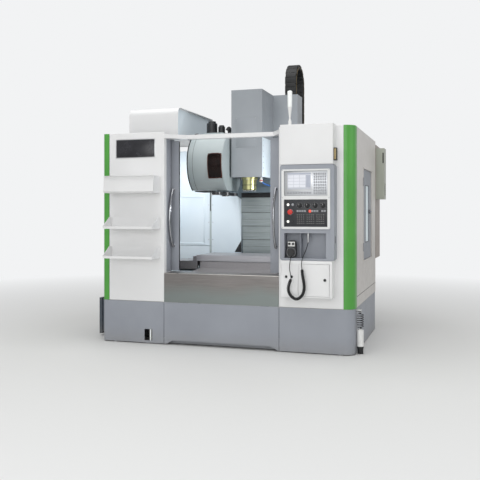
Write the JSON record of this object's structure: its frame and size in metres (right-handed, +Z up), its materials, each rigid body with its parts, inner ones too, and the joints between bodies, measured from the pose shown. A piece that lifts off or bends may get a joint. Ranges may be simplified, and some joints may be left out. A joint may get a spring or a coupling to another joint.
{
  "type": "vertical machining centre",
  "caption": "Enclosed vertical machining centre with open sliding front doors, arm-type tool changer, swing-free operator console and side coolant tank.",
  "frame": {"origin": "centre of the outline on the floor, cords left out, at floor level", "axes": "+Z up from the floor; +X to the operator's right along the table; +Y from the operator towards the column"},
  "size_m": [2.77, 2.201, 2.9612],
  "materials": {
    "cream_paint": "smooth semi-gloss enamel",
    "green_paint": "smooth semi-gloss enamel",
    "grey_paint": "fine textured powder coat",
    "pale_blue_paint": "smooth enamel",
    "head_paint": "smooth semi-gloss enamel",
    "drum_paint": "smooth enamel",
    "cooler_paint": "smooth enamel",
    "display_paint": "satin",
    "lamp_plastic": "translucent white cap on a white stem",
    "casting_paint": "painted casting",
    "stainless": "brushed sheet",
    "ground_steel": "ground",
    "slate_steel": "dull dark coat",
    "dark_steel": "blackened",
    "motor_black": "satin black",
    "nose_metal": "brushed, passivated",
    "black_plastic": "fine grain",
    "black_rubber": "matt",
    "red_plastic": "smooth",
    "white_plastic": "smooth",
    "blue_rubber": "matt",
    "window_glass": "clear laminated pane"
  },
  "bodies": {
    "frame": {"levelling_feet": "ground_steel", "machine_bed": "casting_paint", "column": "casting_paint", "guide_rails": "ground_steel", "base_pan": "stainless", "front_skirts": "grey_paint", "left_tower": "cream_paint", "right_tower": "cream_paint", "corner_posts": "green_paint", "front_beam": "cream_paint", "front_apron": "stainless", "left_wall": "cream_paint", "right_wall": "cream_paint", "rear_guards": "pale_blue_paint", "magazine_hood": "cream_paint", "tool_shelves": "cream_paint", "console_housing": "cream_paint", "operator_console": "grey_paint", "display_unit": "display_paint", "control_panel": "black_plastic", "signal_lamp": "lamp_plastic", "electrical_cabinet": "cream_paint", "cooling_unit": "cooler_paint", "coolant_tank": "slate_steel", "hand_pendant": "black_plastic", "pendant_lead": "black_rubber", "pendant_coil": "black_rubber", "pendant_plug": "ground_steel", "air_hose": "black_rubber", "air_gun": "white_plastic", "magazine_cover": "drum_paint", "change_gearbox": "casting_paint", "servo_motors": "motor_black", "y_cover": "stainless", "cable_chain": "black_plastic", "cabinet_door": "cream_paint"},
    "saddle": {"saddle": "casting_paint", "x_covers": "slate_steel"},
    "table": {"work_table": "ground_steel"},
    "head": {"spindle_head": "casting_paint", "head_cover": "head_paint", "spindle_nose": "nose_metal", "coolant_hose": "blue_rubber", "z_cover_top": "stainless"},
    "spindle": {"spindle_rotor": "ground_steel"},
    "way_cover_upper": {"z_cover_upper": "stainless"},
    "way_cover_middle": {"z_cover_middle": "stainless"},
    "way_cover_lower": {"z_cover_lower": "stainless"},
    "magazine": {"magazine_disc": "ground_steel"},
    "changer_shaft": {"arm_shaft": "ground_steel"},
    "changer_arm": {"change_arm": "dark_steel"},
    "left_leaf": {"left_door": "grey_paint", "left_window": "window_glass"},
    "right_leaf": {"right_door": "grey_paint", "right_window": "window_glass"},
    "side_leaf": {"side_door": "grey_paint", "side_window": "window_glass"},
    "rear_leaf": {"electrical_door": "cream_paint"},
    "stop_button": {"emergency_stop": "red_plastic"},
    "handwheel": {"pendant_wheel": "black_plastic"}
  },
  "joints": [
    {"name": "y_axis", "type": "slide", "parent": "frame", "child": "saddle", "axis": [0, 1, 0], "range_m": [-0.25, 0.25], "deforming": ["y_cover"]},
    {"name": "x_axis", "type": "slide", "parent": "saddle", "child": "table", "axis": [1, 0, 0], "range_m": [-0.4, 0.4], "deforming": ["x_covers"]},
    {"name": "z_axis", "type": "slide", "parent": "frame", "child": "head", "axis": [0, 0, 1], "range_m": [-0.55, 0], "deforming": ["cable_chain"]},
    {"name": "way_cover_upper_slide", "type": "slide", "parent": "frame", "child": "way_cover_upper", "axis": [0, 0, 1], "range_m": [-0.4125, 0]},
    {"name": "way_cover_middle_slide", "type": "slide", "parent": "frame", "child": "way_cover_middle", "axis": [0, 0, 1], "range_m": [-0.275, 0]},
    {"name": "way_cover_lower_slide", "type": "slide", "parent": "frame", "child": "way_cover_lower", "axis": [0, 0, 1], "range_m": [-0.1375, 0]},
    {"name": "spindle_turn", "type": "hinge", "parent": "head", "child": "spindle", "pos_m": [0.07, -0.08, 1.5], "axis": [0, 0, 1], "continuous": true},
    {"name": "magazine_turn", "type": "hinge", "parent": "frame", "child": "magazine", "pos_m": [-0.353, -0.08, 1.785], "axis": [1, 0, 0], "continuous": true},
    {"name": "arm_drop", "type": "slide", "parent": "frame", "child": "changer_shaft", "axis": [0, 0, -1], "range_m": [0, 0.11]},
    {"name": "arm_turn", "type": "hinge", "parent": "changer_shaft", "child": "changer_arm", "pos_m": [-0.2, -0.08, 1.47], "axis": [0, 0, -1], "range_deg": [0, 270]},
    {"name": "left_door_slide", "type": "slide", "parent": "frame", "child": "left_leaf", "axis": [1, 0, 0], "range_m": [0, 0.492]},
    {"name": "right_door_slide", "type": "slide", "parent": "frame", "child": "right_leaf", "axis": [-1, 0, 0], "range_m": [0, 0.438]},
    {"name": "side_door_hinge", "type": "hinge", "parent": "frame", "child": "side_leaf", "pos_m": [1.3013, -0.347, 1.26], "axis": [0, 0, -1], "range_deg": [0, 110]},
    {"name": "rear_door_hinge", "type": "hinge", "parent": "frame", "child": "rear_leaf", "pos_m": [0.527, 1.053, 1.4], "axis": [0, 0, 1], "range_deg": [0, 110]},
    {"name": "stop_button_press", "type": "slide", "parent": "frame", "child": "stop_button", "axis": [0, 1, 0], "range_m": [0, 0.006], "stiffness_N_per_m": 800},
    {"name": "handwheel_turn", "type": "hinge", "parent": "frame", "child": "handwheel", "pos_m": [0.748, -1.03, 0.916], "axis": [0, 1, 0], "continuous": true}
  ],
  "couplings": [
    {"joint": "way_cover_upper_slide", "follows": "z_axis", "ratio": 0.75},
    {"joint": "way_cover_middle_slide", "follows": "z_axis", "ratio": 0.5},
    {"joint": "way_cover_lower_slide", "follows": "z_axis", "ratio": 0.25}
  ]
}
